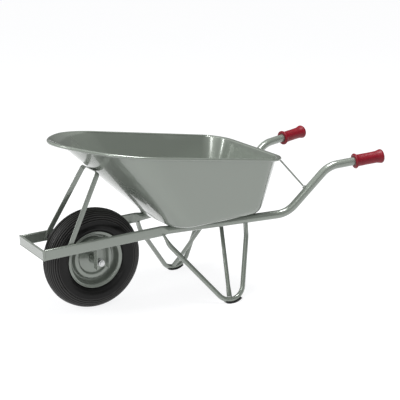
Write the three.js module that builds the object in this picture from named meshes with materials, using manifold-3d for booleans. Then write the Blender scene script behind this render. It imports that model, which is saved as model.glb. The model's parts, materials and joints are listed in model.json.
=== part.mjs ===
// A builder's wheelbarrow: a deep pressed-steel tray on a welded tube frame,
// with one pneumatic wheel at the front and two V-shaped legs.
// Millimetres, +Z up, +X towards the handles. The operator's left hand is on the -Y side.
// Inside this file x = 0 is the wheel's axle; the last group moves the origin to the
// middle of the footprint, on the ground.

import * as THREE from 'three';
import { mergeVertices } from 'three/addons/utils/BufferGeometryUtils.js';
import Module from 'manifold-3d';

const wasm = await Module();
wasm.setup();

// ---------------------------------------------------------------- driving dimensions
const GAP = 0.3;                  // clearance between touching pieces

const TYRE_RADIUS = 200;          // a 4.00-8 tyre, 100 wide
const RIM_RADIUS = 114;           // over the rim's flanges
const AXLE_RADIUS = 8;

const FRONT_X = -251;             // front face of the frame
const RAIL_HEIGHT = 42;           // the tubes are pressed flat beside the wheel
const RAIL_WIDTH = 12;
const RAIL_Y = 112;               // middle of a flattened rail
const RAIL_Z = 286.8;             // middle of the rail above the axle
const RAIL_SLOPE = 0.0456;        // the rails climb gently towards the handles
const FLAT_END_X = 244;           // flattening runs out between these two
const ROUND_START_X = 276;

const TUBE_RADIUS = 17;
const TUBE_WALL = 1.8;
const SPREAD = 0.193;             // how fast the tubes part towards the handles
const BEND_RADIUS = 110;
const LOWER_BEND_X = 773;
const UPPER_BEND = [947, 503.6];  // x and z of the corner below the grips
const HANDLE_SLOPE = 0.107;
const GRIP_START_X = 1058;
const GRIP_LENGTH = 129;
const GRIP_CAP = 6;               // closed end of a grip

const SHEET = 1.2;                // tray sheet
const LIP_RADIUS = 6;             // rolled edge
const RIM_Z = 650;                // lip height above the axle
const RIM_SLOPE = -0.128;         // the rim falls towards the handles
const FLANGE = 9;                 // flat margin between wall and lip along the rear
const POUR_LIP = 38;              // the nose flares out over this width
const POUR_DROP = 9;              // and falls this far below the lip at its inner edge
const FILLET = 26;                // reach of the rounding between floor and walls
const CORNER_FILLET = 14;         // the rounding reaches this much further at the rear corners

const LEG_RADIUS = 10;
const LEG_WALL = 1.8;
const LEG_FRONT_X = 256;
const LEG_REAR_X = 596;
const LEG_END_WIDTH = 26;         // both ends are squeezed flat
const LEG_END_THICKNESS = 10;
const FRONT_KNEE = [276, -128, 240];
const REAR_KNEE = [594, -184, 248];
const FRONT_KNEE_BEND = 90;
const REAR_KNEE_BEND = 120;
const FOOT_X = [460, 541];        // corners of the foot bend
const FOOT_LOW_X = 492;           // where it touches down
const FOOT_Y = 241;
const FOOT_BEND = 58;
const SKID_THICKNESS = 4;
const SKID_WIDTH = 24;
const SKID_ARC = [-22, 38];       // degrees round the foot bend
const SKID_FLAT = 1.2;            // ground off the underside, so that a foot stands flat
const BRACE_RADIUS = 8.5;
const BRACE_TOP_Y = 24;
const BRACE_END_WIDTH = 23;       // its lower end is squeezed flat over this length
const BRACE_END_THICKNESS = 11;
const BRACE_END_LENGTH = 60;
const CROSSBAR_X = 565;
const CROSSBAR_RADIUS = 12.5;

const STAY_WIDTH = 20;            // flat bar of the front stay
const STAY_THICKNESS = 4;
const STAY_TOP_Y = 66;            // corners under the nose
const STAY_HEIGHT = 0.69;         // share of the nose panel's height that the stay reaches
const STAY_KNEE = [-129, 103.4, 304];
const STAY_FOOT = [-146, 103.4, 267];
const STAY_SCREW = [-139, 281];   // x and z of the screw in its foot
const REAR_STAY_RADIUS = 3.5;
const REAR_STAY_TOP = [736, -206];
const TAB_X = 858;
const TAB_LENGTH = 16;
const TAB_THICKNESS = 4;

const BRACKET_WIDTH = 52;
const BRACKET_FACE_Y = 77;        // outer face of the bracket's web
const BRACKET_THICKNESS = 2.5;
const BRACKET_BOTTOM_Z = 182;
const BRACKET_WELD_HEIGHT = 12;   // the flanges reach this far above the rail's middle

const BOLT_RADIUS = 4;            // M8 throughout
const BOLT_HOLE = BOLT_RADIUS + GAP;
const NUT_FLATS = 13;
const TRAY_BOLT_X = [330, 520];
const TRAY_BOLT_LENGTH = 16;
const TRAY_NUT_HEIGHT = 6;

const AXLE_Z = TYRE_RADIUS;
const railZ = (x) => RAIL_Z + RAIL_SLOPE * x;
const tubeY = (x) => RAIL_Y + SPREAD * Math.max(0, x - ROUND_START_X);
const floorZ = (x) => railZ(x) + TUBE_RADIUS + GAP;
const rimZ = (x) => RIM_Z + RIM_SLOPE * x;

// ---------------------------------------------------------------- materials
const finish = (color, roughness, metalness) =>
  () => new THREE.MeshStandardMaterial({ color, roughness, metalness });
const paint = finish(0x8f9a95, 0.35, 0.2);
const zinc = finish(0xc9ccca, 0.3, 0.9);
const rubber = finish(0x1e1e20, 0.85, 0);
const butyl = finish(0x2a2a2c, 0.7, 0);
const gripPlastic = finish(0x8a1a2c, 0.5, 0);
const nylon = finish(0xd8d6cc, 0.5, 0);
const darkSteel = finish(0x2b2c2c, 0.6, 0.4);
const brass = finish(0xb08d4a, 0.35, 0.9);

const model = new THREE.Group();

function add(name, geometry, material, parent = model) {
  const mesh = new THREE.Mesh(geometry, material());
  mesh.name = name;
  parent.add(mesh);
  return mesh;
}

// ---------------------------------------------------------------- solids
function toSolid(geometry) {
  const bare = geometry.clone();
  bare.deleteAttribute('normal');
  bare.deleteAttribute('uv');
  const merged = mergeVertices(bare, 1e-3);
  const index = merged.index.array;
  const kept = [];
  for (let i = 0; i < index.length; i += 3) {
    const [a, b, c] = [index[i], index[i + 1], index[i + 2]];
    if (a !== b && b !== c && c !== a) kept.push(a, b, c);
  }
  return new wasm.Manifold(new wasm.Mesh({
    numProp: 3,
    vertProperties: new Float32Array(merged.attributes.position.array),
    triVerts: new Uint32Array(kept),
  }));
}

function toGeometry(solid) {
  const mesh = solid.getMesh();
  const geometry = new THREE.BufferGeometry();
  geometry.setAttribute('position', new THREE.BufferAttribute(mesh.vertProperties, 3));
  geometry.setIndex(new THREE.BufferAttribute(mesh.triVerts, 1));
  geometry.computeVertexNormals();
  return geometry;
}

const cut = (geometry, ...tools) =>
  toGeometry(tools.reduce((solid, tool) => solid.subtract(toSolid(tool)), toSolid(geometry)));
const join = (geometry, ...others) =>
  toGeometry(others.reduce((solid, other) => solid.add(toSolid(other)), toSolid(geometry)));

// A closed skin through rings of points. The ends are closed by fans.
function loft(rings) {
  const around = rings[0].length;
  const points = rings.flat();
  const index = [];
  for (let i = 0; i + 1 < rings.length; i++) {
    for (let k = 0; k < around; k++) {
      const a = i * around + k;
      const b = i * around + (k + 1) % around;
      index.push(a, b, b + around, a, b + around, a + around);
    }
  }
  const fan = (start, flip) => {
    const middle = new THREE.Vector3();
    for (let k = 0; k < around; k++) middle.addScaledVector(points[start + k], 1 / around);
    points.push(middle);
    for (let k = 0; k < around; k++) {
      const edge = [start + k, start + (k + 1) % around];
      index.push(points.length - 1, ...(flip ? edge.reverse() : edge));
    }
  };
  fan((rings.length - 1) * around, false);
  fan(0, true);
  const geometry = new THREE.BufferGeometry().setFromPoints(points);
  if (volume(points, index) < 0) index.reverse();
  geometry.setIndex(index);
  geometry.computeVertexNormals();
  return geometry;
}

function volume(points, index) {
  let sum = 0;
  const cross = new THREE.Vector3();
  for (let i = 0; i < index.length; i += 3) {
    cross.crossVectors(points[index[i + 1]], points[index[i + 2]]);
    sum += points[index[i]].dot(cross);
  }
  return sum / 6;
}

// A rounded oblong: a circle when width equals height.
function oblong(width, height, around) {
  const radius = Math.min(width, height) / 2;
  const ring = [];
  for (let k = 0; k < around; k++) {
    const angle = ((k + 0.5) / around) * 2 * Math.PI;
    const [c, s] = [Math.cos(angle), Math.sin(angle)];
    ring.push([
      radius * c + Math.sign(c) * (width / 2 - radius),
      radius * s + Math.sign(s) * (height / 2 - radius),
    ]);
  }
  return ring;
}

const rectangle = (width, height) =>
  [[1, 1], [-1, 1], [-1, -1], [1, -1]].map(([a, b]) => [a * width / 2, b * height / 2]);

// Stations along a line of corners, each rounded by its own radius.
function bentPath(corners, arcSteps = 4) {
  const stations = [];
  const at = (point, tangent) => stations.push({ point, tangent });
  const points = corners.map((corner) => new THREE.Vector3(...corner.at));
  const way = (i) => points[i + 1].clone().sub(points[i]).normalize();
  at(points[0], way(0));
  for (let i = 1; i + 1 < points.length; i++) {
    const [before, after] = [way(i - 1), way(i)];
    const turn = before.angleTo(after);
    const reach = corners[i].radius * Math.tan(turn / 2);
    const axis = before.clone().cross(after).normalize();
    const start = points[i].clone().addScaledVector(before, -reach);
    const toCentre = axis.clone().cross(before);
    const centre = start.clone().addScaledVector(toCentre, corners[i].radius);
    for (let k = 0; k <= arcSteps; k++) {
      const angle = turn * k / arcSteps;
      const spoke = toCentre.clone().applyAxisAngle(axis, angle);
      at(centre.clone().addScaledVector(spoke, -corners[i].radius),
        before.clone().applyAxisAngle(axis, angle));
    }
  }
  at(points.at(-1), way(points.length - 2));
  return stations;
}

// A solid of changing section along stations. side is the direction of a section's first
// coordinate, as near as the path allows.
function sweep(stations, sectionAt, side) {
  return loft(stations.map(({ point, tangent }, i) => {
    const up = tangent.clone().cross(side).normalize();
    const across = up.clone().cross(tangent).normalize();
    return sectionAt(i, point).map(([a, b]) =>
      point.clone().addScaledVector(across, a).addScaledVector(up, b));
  }));
}

function rodBetween(start, end, radius, around = 12) {
  const [a, b] = [new THREE.Vector3(...start), new THREE.Vector3(...end)];
  const geometry = new THREE.CylinderGeometry(radius, radius, a.distanceTo(b), around);
  const turn = new THREE.Quaternion().setFromUnitVectors(
    new THREE.Vector3(0, 1, 0), b.clone().sub(a).normalize());
  geometry.applyQuaternion(turn);
  const middle = a.add(b).multiplyScalar(0.5);
  return geometry.translate(middle.x, middle.y, middle.z);
}

function boxAt(sizes, middle) {
  return new THREE.BoxGeometry(...sizes).translate(...middle);
}

function lathe(profile, segments) {
  const points = profile.map(([radius, y]) => new THREE.Vector2(radius, y));
  const geometry = new THREE.LatheGeometry(points, segments);
  const index = geometry.index.array;
  const vertices = [];
  for (let i = 0; i < geometry.attributes.position.count; i++) {
    vertices.push(new THREE.Vector3().fromBufferAttribute(geometry.attributes.position, i));
  }
  if (volume(vertices, index) < 0) index.reverse();
  return geometry;
}

// A ring with a plain bore about the Y axis.
const collar = (inner, outer, from, to, segments = 24) => lathe([
  [inner, from], [outer, from], [outer, to], [inner, to], [inner, from],
], segments);

const mirrored = (geometry) => {
  const copy = geometry.clone().scale(1, -1, 1);
  copy.index.array.reverse();
  copy.computeVertexNormals();
  return copy;
};

// Every paired piece is drawn on the left, -Y, side and mirrored to the right.
function addPair(name, geometry, material, parent = model) {
  add(`left_${name}`, geometry, material, parent);
  add(`right_${name}`, mirrored(geometry), material, parent);
}

// ---------------------------------------------------------------- frame tubes
const ACROSS = new THREE.Vector3(0, 1, 0);
const lowerBend = [LOWER_BEND_X, -tubeY(LOWER_BEND_X), railZ(LOWER_BEND_X)];
const upperBend = [UPPER_BEND[0], -tubeY(UPPER_BEND[0]), UPPER_BEND[1]];
const handleZ = (x) => UPPER_BEND[1] + HANDLE_SLOPE * (x - UPPER_BEND[0]);
const handlePoint = (x) => new THREE.Vector3(x, -tubeY(x), handleZ(x));
const gripStart = handlePoint(GRIP_START_X);
const handleWay = handlePoint(GRIP_START_X + 1).sub(gripStart).normalize();
const tubeEnd = gripStart.clone().addScaledVector(handleWay, GRIP_LENGTH - GRIP_CAP - 1);

function frameTubeSkin(shrink, overrun, around = 12) {
  const railPoint = (x) => ({ at: [x, -RAIL_Y, railZ(x)], radius: 0 });
  const frontOverlap = RAIL_WIDTH + GAP;
  const start = FRONT_X + frontOverlap + shrink;
  const flatSteps = [start, FLAT_END_X];
  const blendSteps = [1, 2, 3].map((k) => FLAT_END_X + (ROUND_START_X - FLAT_END_X) * k / 3);
  const straight = [...flatSteps, ...blendSteps].map((x) => ({
    point: new THREE.Vector3(...railPoint(x).at),
    tangent: new THREE.Vector3(1, 0, RAIL_SLOPE).normalize(),
  }));
  const end = tubeEnd.clone().addScaledVector(handleWay, overrun);
  const bent = bentPath([
    railPoint(ROUND_START_X),
    { at: lowerBend, radius: BEND_RADIUS },
    { at: upperBend, radius: BEND_RADIUS },
    { at: end.toArray() },
  ]).slice(1);
  const section = (i, point) => {
    const t = THREE.MathUtils.smoothstep(point.x, FLAT_END_X, ROUND_START_X);
    const width = THREE.MathUtils.lerp(RAIL_WIDTH, 2 * TUBE_RADIUS, t) - 2 * shrink;
    const height = THREE.MathUtils.lerp(RAIL_HEIGHT, 2 * TUBE_RADIUS, t) - 2 * shrink;
    return oblong(width, height, around);
  };
  return sweep([...straight, ...bent], section, ACROSS);
}

const tubeOuter = frameTubeSkin(0, 0);
const tubeClearance = frameTubeSkin(-GAP, 0);
const frameTube = cut(tubeOuter, frameTubeSkin(TUBE_WALL, 5));

// The front bar is the same flattened tube, set square across the two rails.
const frontBarX = FRONT_X + RAIL_WIDTH / 2;
const frontBarEnd = RAIL_Y + RAIL_WIDTH / 2;
const barTilt = -Math.atan(RAIL_SLOPE);
const frontBarPath = [-1, 1].map((side) => ({
  point: new THREE.Vector3(frontBarX, side * frontBarEnd, railZ(frontBarX)),
  tangent: ACROSS.clone(),
}));
const alongRail = new THREE.Vector3(Math.cos(barTilt), 0, -Math.sin(barTilt));
const frontBarSkin = (shrink, overrun) => sweep(
  frontBarPath.map(({ point, tangent }, i) => ({
    point: point.clone().addScaledVector(tangent, (i ? 1 : -1) * overrun), tangent,
  })),
  () => oblong(RAIL_WIDTH - 2 * shrink, RAIL_HEIGHT - 2 * shrink, 12), alongRail);
const frontBar = cut(frontBarSkin(0, 0), frontBarSkin(TUBE_WALL, 5));

// ---------------------------------------------------------------- crossbar
const crossbarZ = railZ(CROSSBAR_X);
const crossbarReach = tubeY(CROSSBAR_X);
const alongCrossbar = (radius) => rodBetween(
  [CROSSBAR_X, -crossbarReach, crossbarZ], [CROSSBAR_X, crossbarReach, crossbarZ], radius);
const crossbar = cut(alongCrossbar(CROSSBAR_RADIUS),
  tubeClearance, mirrored(tubeClearance), alongCrossbar(CROSSBAR_RADIUS - LEG_WALL));

// ---------------------------------------------------------------- legs
const legZ = SKID_THICKNESS - SKID_FLAT + GAP + LEG_RADIUS;
const legCorners = [
  { at: [LEG_FRONT_X, -RAIL_Y, railZ(LEG_FRONT_X) - 12] },
  { at: FRONT_KNEE, radius: FRONT_KNEE_BEND },
  { at: [FOOT_X[0], -FOOT_Y, legZ], radius: FOOT_BEND },
  { at: [FOOT_X[1], -FOOT_Y, legZ], radius: FOOT_BEND },
  { at: REAR_KNEE, radius: REAR_KNEE_BEND },
  { at: [LEG_REAR_X, -tubeY(LEG_REAR_X), railZ(LEG_REAR_X) - 8] },
];
const legPlane = new THREE.Vector3(0, 1, 0.38).normalize();

function legSkin(shrink, overrun) {
  const path = bentPath(legCorners, 3);
  path[0].point.addScaledVector(path[0].tangent, -overrun);
  path.at(-1).point.addScaledVector(path.at(-1).tangent, overrun);
  const section = (i) => {
    const isEnd = i === 0 || i === path.length - 1;
    const width = isEnd ? LEG_END_WIDTH : 2 * LEG_RADIUS;
    const height = isEnd ? LEG_END_THICKNESS : 2 * LEG_RADIUS;
    return oblong(width - 2 * shrink, height - 2 * shrink, 10);
  };
  return sweep(path, section, legPlane);
}
const legClearance = legSkin(-GAP, 0);
const leg = cut(legSkin(0, 0), legSkin(LEG_WALL, 3), tubeClearance);

// The brace climbs from the foot to the middle of the crossbar.
const braceFoot = new THREE.Vector3(FOOT_LOW_X - 4, -FOOT_Y + 7, legZ + 4);
const braceTop = new THREE.Vector3(CROSSBAR_X, -BRACE_TOP_Y, crossbarZ - 4);
const braceDirection = braceTop.clone().sub(braceFoot).normalize();
const braceStations = [0, BRACE_END_LENGTH, braceTop.distanceTo(braceFoot)].map((distance) => ({
  point: braceFoot.clone().addScaledVector(braceDirection, distance), tangent: braceDirection,
}));
const braceSection = (i) => (i === 0 ? oblong(BRACE_END_THICKNESS, BRACE_END_WIDTH, 10)
  : oblong(2 * BRACE_RADIUS, 2 * BRACE_RADIUS, 10));
const brace = cut(sweep(braceStations, braceSection, ACROSS),
  legClearance, alongCrossbar(CROSSBAR_RADIUS + GAP));

// A strip bent round the underside of the foot, level across, so that it wears evenly.
function skidStrip() {
  const radius = FOOT_BEND + LEG_RADIUS + GAP + SKID_THICKNESS / 2;
  const stations = Array.from({ length: 7 }, (_, k) => {
    const degrees = THREE.MathUtils.lerp(...SKID_ARC, k / 6);
    const angle = THREE.MathUtils.degToRad(degrees);
    return {
      point: new THREE.Vector3(FOOT_LOW_X + radius * Math.sin(angle), -FOOT_Y,
        legZ + FOOT_BEND - radius * Math.cos(angle)),
      tangent: new THREE.Vector3(Math.cos(angle), 0, Math.sin(angle)),
    };
  });
  return sweep(stations, () => rectangle(SKID_WIDTH, SKID_THICKNESS), ACROSS);
}
const skid = cut(skidStrip(), legClearance,
  boxAt([400, 100, 20], [FOOT_LOW_X, -FOOT_Y, -10]));

// ---------------------------------------------------------------- tray
// Half an outline runs from the middle of the front to the middle of the rear on the +Y side,
// in five stretches that the floor and the rim share.
const STRETCHES = [4, 5, 3, 4, 2];
const CREASE = [-40, 205];
function halfOutline(curves) {
  const points = [curves[0].getPoint(0)];
  curves.forEach((curve, i) => {
    for (let k = 1; k <= STRETCHES[i]; k++) points.push(curve.getPoint(k / STRETCHES[i]));
  });
  return points;
}
const v2 = (x, y) => new THREE.Vector2(x, y);
const line = (a, b) => new THREE.LineCurve(v2(...a), v2(...b));
const curve = (a, b, c, d) =>
  new THREE.CubicBezierCurve(v2(...a), v2(...b), v2(...c), v2(...d));
const rearCorner = (x, y, radius) => new THREE.ArcCurve(x, y, radius, Math.PI / 2, 0, true);

const footOutline = halfOutline([
  line([268, 0], [268, 108]),
  curve([268, 108], [268, 160], [296, 205], [352, 209]),
  line([352, 209], [612, 213]),
  rearCorner(612, 163, 50),
  line([662, 163], [662, 0]),
]);
const rimOutline = halfOutline([
  curve([-156, 0], [-156, 58], [-106, 136], CREASE),
  curve(CREASE, [12, 252], [80, 277], [150, 279]),
  line([150, 279], [641, 267]),
  rearCorner(641, 167, 100),
  line([741, 167], [742, 0]),
]);
const REAR_CORNER = STRETCHES[0] + STRETCHES[1] + STRETCHES[2];
const flangeShare = (i) => THREE.MathUtils.smoothstep(i, REAR_CORNER, REAR_CORNER + 2);
const filletAt = (i) => FILLET + CORNER_FILLET
  * THREE.MathUtils.smoothstep(i, REAR_CORNER - 2, REAR_CORNER + 1)
  * (1 - THREE.MathUtils.smoothstep(i, REAR_CORNER + 3, REAR_CORNER + 6));
const pourShare = (i) => 1 - THREE.MathUtils.smoothstep(i, 2, STRETCHES[0] + STRETCHES[1]);

// Outward directions in plan along half an outline.
function outwardAlong(points) {
  return points.map((point, i) => {
    const before = points[Math.max(0, i - 1)];
    const after = points[Math.min(points.length - 1, i + 1)];
    const along = after.clone().sub(before).normalize();
    const outward = new THREE.Vector3(-along.y, along.x, 0);
    if (i === 0 || i === points.length - 1) outward.set(i === 0 ? -1 : 1, 0, 0);
    return outward;
  });
}
const footOutward = outwardAlong(footOutline);
const rimOutward = outwardAlong(rimOutline);

// A wall's outer face runs straight from its foot to just under the lip.
function wallLine(i) {
  const [foot, rim] = [footOutline[i], rimOutline[i]];
  const bottom = new THREE.Vector3(foot.x, foot.y, floorZ(foot.x));
  const lip = new THREE.Vector3(rim.x, rim.y, rimZ(rim.x));
  const margin = FLANGE * flangeShare(i) + POUR_LIP * pourShare(i);
  const top = lip.clone().addScaledVector(rimOutward[i], SHEET - LIP_RADIUS - margin);
  top.z += THREE.MathUtils.lerp(-1, LIP_RADIUS - SHEET, flangeShare(i)) - POUR_DROP * pourShare(i);
  return { bottom, top, lip };
}

// The outer skin at one place round the tray: the floor's edge, its rounding and the wall.
function outerSkin(i) {
  const { bottom, top } = wallLine(i);
  const wallWay = top.clone().sub(bottom).normalize();
  const floorEdge = bottom.clone().addScaledVector(footOutward[i], -filletAt(i));
  floorEdge.z = floorZ(floorEdge.x);
  const wallStart = bottom.clone().addScaledVector(wallWay, filletAt(i));
  const rounding = new THREE.QuadraticBezierCurve3(floorEdge, bottom, wallStart);
  const outer = [0, 0.33, 0.67, 1].map((t) => rounding.getPoint(t));
  outer.push(wallStart.clone().lerp(top, 0.5), top);
  return outer;
}
const outerSkins = footOutline.map((_, i) => outerSkin(i));

// Into the tray, square to the sheet.
function inwardAt(i, k) {
  if (k === 0) return new THREE.Vector3(0, 0, 1);
  const skin = outerSkins[i];
  const rise = skin[Math.min(k + 1, skin.length - 1)].clone().sub(skin[k - 1]);
  const isMiddle = i === 0 || i === outerSkins.length - 1;
  const along = isMiddle
    ? new THREE.Vector3(0, i === 0 ? 1 : -1, 0)
    : outerSkins[i + 1][k].clone().sub(outerSkins[i - 1][k]);
  return along.cross(rise).normalize();
}

// One section of the tray: up the outer skin from the floor, round the lip, and back down
// the inner skin.
function traySection(i) {
  const { lip } = wallLine(i);
  const outer = outerSkins[i];
  const inner = outer.map((point, k) => point.clone().addScaledVector(inwardAt(i, k), SHEET));
  const share = flangeShare(i);
  const aroundLip = (degrees) => {
    const angle = THREE.MathUtils.degToRad(degrees);
    const point = lip.clone().addScaledVector(rimOutward[i], LIP_RADIUS * Math.cos(angle));
    point.z += LIP_RADIUS * Math.sin(angle);
    return point;
  };
  const curlStart = THREE.MathUtils.lerp(-160, -218, share);
  const bead = [0, 0.2, 0.4, 0.6, 0.8, 1].map((t) =>
    aroundLip(THREE.MathUtils.lerp(curlStart, 90, t)));
  const flangeTop = aroundLip(150).lerp(aroundLip(90), share)
    .addScaledVector(rimOutward[i], -(FLANGE - LIP_RADIUS) * share);
  return [...outer, ...bead, flangeTop, ...inner.reverse()];
}

function trayBody() {
  const half = footOutline.map((_, i) => traySection(i));
  const flipY = (section) => section.map((p) => new THREE.Vector3(p.x, -p.y, p.z));
  const sections = [...half, ...half.slice(1, -1).reverse().map(flipY)];
  const rings = sections[0].map((_, k) => sections.map((section) => section[k]));
  return loft(rings);
}

// ---------------------------------------------------------------- bolts
const slopeTurn = (geometry) => geometry.rotateX(Math.PI / 2).rotateY(-Math.atan(RAIL_SLOPE));
const boltAxis = new THREE.Vector3(-RAIL_SLOPE, 0, 1).normalize();

// A mushroom-headed bolt standing on the tray floor, from its head down.
function trayBolt() {
  const profile = [[0, 5], [4, 4.6], [8, 2.8], [9, GAP], [BOLT_RADIUS, GAP],
    [BOLT_RADIUS, -TRAY_BOLT_LENGTH], [0, -TRAY_BOLT_LENGTH]];
  return slopeTurn(lathe(profile, 12));
}
function hexNut(acrossFlats, height, bore) {
  const radius = acrossFlats / Math.sqrt(3);
  return cut(new THREE.CylinderGeometry(radius, radius, height, 6),
    new THREE.CylinderGeometry(bore, bore, height + 2, 12));
}
function boltPlace(x, side) {
  return new THREE.Vector3(x, side * tubeY(x), floorZ(x) + SHEET);
}

const tray = TRAY_BOLT_X.reduce((body, x) => [-1, 1].reduce((part, side) => {
  const middle = boltPlace(x, side);
  const hole = slopeTurn(new THREE.CylinderGeometry(BOLT_HOLE, BOLT_HOLE, 20, 12));
  return cut(part, hole.translate(...middle.toArray()));
}, body), trayBody());

const tubeHoles = TRAY_BOLT_X.map((x) => slopeTurn(
  new THREE.CylinderGeometry(BOLT_HOLE, BOLT_HOLE, TRAY_BOLT_LENGTH, 12),
).translate(...boltPlace(x, -1).toArray()));

// ---------------------------------------------------------------- front stay
const nose = wallLine(0);
const noseWay = nose.top.clone().sub(nose.bottom).normalize();
const noseDown = new THREE.Vector3(-noseWay.z, 0, noseWay.x);
const stayTop = nose.bottom.clone().lerp(nose.top, STAY_HEIGHT)
  .addScaledVector(noseDown, GAP + STAY_THICKNESS / 2);
const stayCorners = [
  { at: [STAY_FOOT[0], -STAY_FOOT[1], STAY_FOOT[2]] },
  { at: [STAY_KNEE[0], -STAY_KNEE[1], STAY_KNEE[2]], radius: 40 },
  { at: [stayTop.x, -STAY_TOP_Y, stayTop.z], radius: 14 },
  { at: [stayTop.x, STAY_TOP_Y, stayTop.z], radius: 14 },
  { at: [STAY_KNEE[0], STAY_KNEE[1], STAY_KNEE[2]], radius: 40 },
  { at: [STAY_FOOT[0], STAY_FOOT[1], STAY_FOOT[2]] },
];
const screwHole = (side) => rodBetween([STAY_SCREW[0], side * 90, STAY_SCREW[1]],
  [STAY_SCREW[0], side * (RAIL_Y + 1), STAY_SCREW[1]], BOLT_HOLE);
const frontStay = cut(
  sweep(bentPath(stayCorners, 4), () => rectangle(STAY_WIDTH, STAY_THICKNESS), noseWay),
  screwHole(-1), screwHole(1));

// ---------------------------------------------------------------- rear stays
const tabWay = new THREE.Vector3(...upperBend).sub(new THREE.Vector3(...lowerBend)).normalize();
const tabUp = tabWay.clone().cross(ACROSS).normalize();
const tubeAtTab = new THREE.Vector3(...lowerBend).addScaledVector(
  tabWay, (TAB_X - lowerBend[0]) / tabWay.x);
const tabMiddle = tubeAtTab.clone().addScaledVector(tabUp, TUBE_RADIUS);
const tabEnds = [-TAB_LENGTH / 2, TAB_LENGTH / 2].map((along) => ({
  point: tabMiddle.clone().addScaledVector(tabWay, along), tangent: tabWay,
}));
const stayTab = cut(
  sweep(tabEnds, () => rectangle(TAB_THICKNESS, TAB_LENGTH), ACROSS), tubeClearance);
const rearStayFoot = tabMiddle.clone()
  .addScaledVector(tabUp, TAB_LENGTH / 2 + REAR_STAY_RADIUS + GAP);
const rearStayTopZ = rimZ(REAR_STAY_TOP[0]) - LIP_RADIUS - REAR_STAY_RADIUS - 1;
const rearStay = rodBetween(
  rearStayFoot.toArray(), [...REAR_STAY_TOP, rearStayTopZ], REAR_STAY_RADIUS, 8);

// ---------------------------------------------------------------- axle brackets
function axleBracket() {
  const top = railZ(0) + BRACKET_WELD_HEIGHT;
  const height = top - BRACKET_BOTTOM_Z;
  const midZ = (top + BRACKET_BOTTOM_Z) / 2;
  const outer = RAIL_Y - RAIL_WIDTH / 2 - GAP;
  const inner = BRACKET_FACE_Y - BRACKET_THICKNESS;
  const block = boxAt([BRACKET_WIDTH, outer - inner, height], [0, -(outer + inner) / 2, midZ]);
  const channelDepth = outer - BRACKET_FACE_Y + 10;
  const channel = boxAt([BRACKET_WIDTH - 2 * BRACKET_THICKNESS, channelDepth, height + 10],
    [0, -(BRACKET_FACE_Y + channelDepth / 2), midZ]);
  const hole = rodBetween([0, -120, AXLE_Z], [0, -60, AXLE_Z], AXLE_RADIUS + GAP, 24);
  return cut(block, channel, hole);
}

// ---------------------------------------------------------------- grips
const GRIP_BORE = TUBE_RADIUS + GAP;
const gripGeometry = lathe([
  [0, GRIP_LENGTH], [22, GRIP_LENGTH], [27, GRIP_LENGTH - 2], [29.5, GRIP_LENGTH - 8],
  [27.5, GRIP_LENGTH - 15], [24.5, GRIP_LENGTH - 28], [24, GRIP_LENGTH / 2], [24.5, 20],
  [26.5, 11], [30.5, 8], [31.5, 4.5], [30, 1], [26, 0], [GRIP_BORE, 0],
  [GRIP_BORE, GRIP_LENGTH - GRIP_CAP], [0, GRIP_LENGTH - GRIP_CAP],
], 24);
gripGeometry.applyQuaternion(new THREE.Quaternion().setFromUnitVectors(ACROSS, handleWay));
gripGeometry.translate(...gripStart.toArray());

// ---------------------------------------------------------------- wheel
const wheel = new THREE.Group();
wheel.position.z = AXLE_Z;
model.add(wheel);

// Half of the tyre's section, bead to crown, as [radius, half width].
const TYRE_SKIN = [[102.4, 29.2], [103.5, 31.5], [112, 33.5], [122, 43], [138, 49], [154, 50],
  [168, 47.5], [181, 41.5], [191, 32], [197, 18], [TYRE_RADIUS, 0]];
const TYRE_LINING = [[103, 20.5], [112, 27], [124, 37], [140, 43.5], [155, 44], [168, 41.5],
  [179, 35], [187, 22], [190, 0]];
const bothSides = (half) => [
  ...half.map(([r, y]) => [r, -y]), ...half.slice(0, -1).reverse(),
];
const tyre = lathe([
  ...bothSides(TYRE_SKIN), ...bothSides(TYRE_LINING).reverse(),
  [TYRE_SKIN[0][0], -TYRE_SKIN[0][1]],
], 32);

// A stamped half of the rim, hub hole to flange. y = 0 is the joint between the halves.
const RIM_FACE = [[18.4, 14], [24, 12], [58, 12], [64, 18], [79, 18], [85, 2.6], [90, 2.6],
  [95, 8], [98.5, 20], [99.3, 31], [102, 35], [109, 36.2], [112, 38], [RIM_RADIUS, 36.4]];
const RIM_BACK = [[111, 34.2], [104, 33.6], [101.5, 30], [100.8, 20], [97, 6.6], [91, GAP],
  [83.4, GAP], [77.4, 15.8], [65.6, 15.8], [59.6, 9.8], [18.4, 9.8]];
const rimHalf = lathe([...RIM_FACE, ...RIM_BACK, RIM_FACE[0]], 28);

const HUB_LENGTH = 118;
const HUB_BORE = 14;
const HUB_RADIUS = 18;
const hub = collar(HUB_BORE, HUB_RADIUS, -HUB_LENGTH / 2, HUB_LENGTH / 2, 28);
const BUSH_LENGTH = 22;
const BUSH_LIP = 3;
const hubEnd = HUB_LENGTH / 2;
const bush = lathe([
  [AXLE_RADIUS + GAP, -hubEnd + BUSH_LENGTH], [AXLE_RADIUS + GAP, -hubEnd - BUSH_LIP - GAP],
  [17, -hubEnd - BUSH_LIP - GAP], [17, -hubEnd - GAP], [HUB_BORE - GAP, -hubEnd - GAP],
  [HUB_BORE - GAP, -hubEnd + BUSH_LENGTH], [AXLE_RADIUS + GAP, -hubEnd + BUSH_LENGTH],
], 24);

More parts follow.
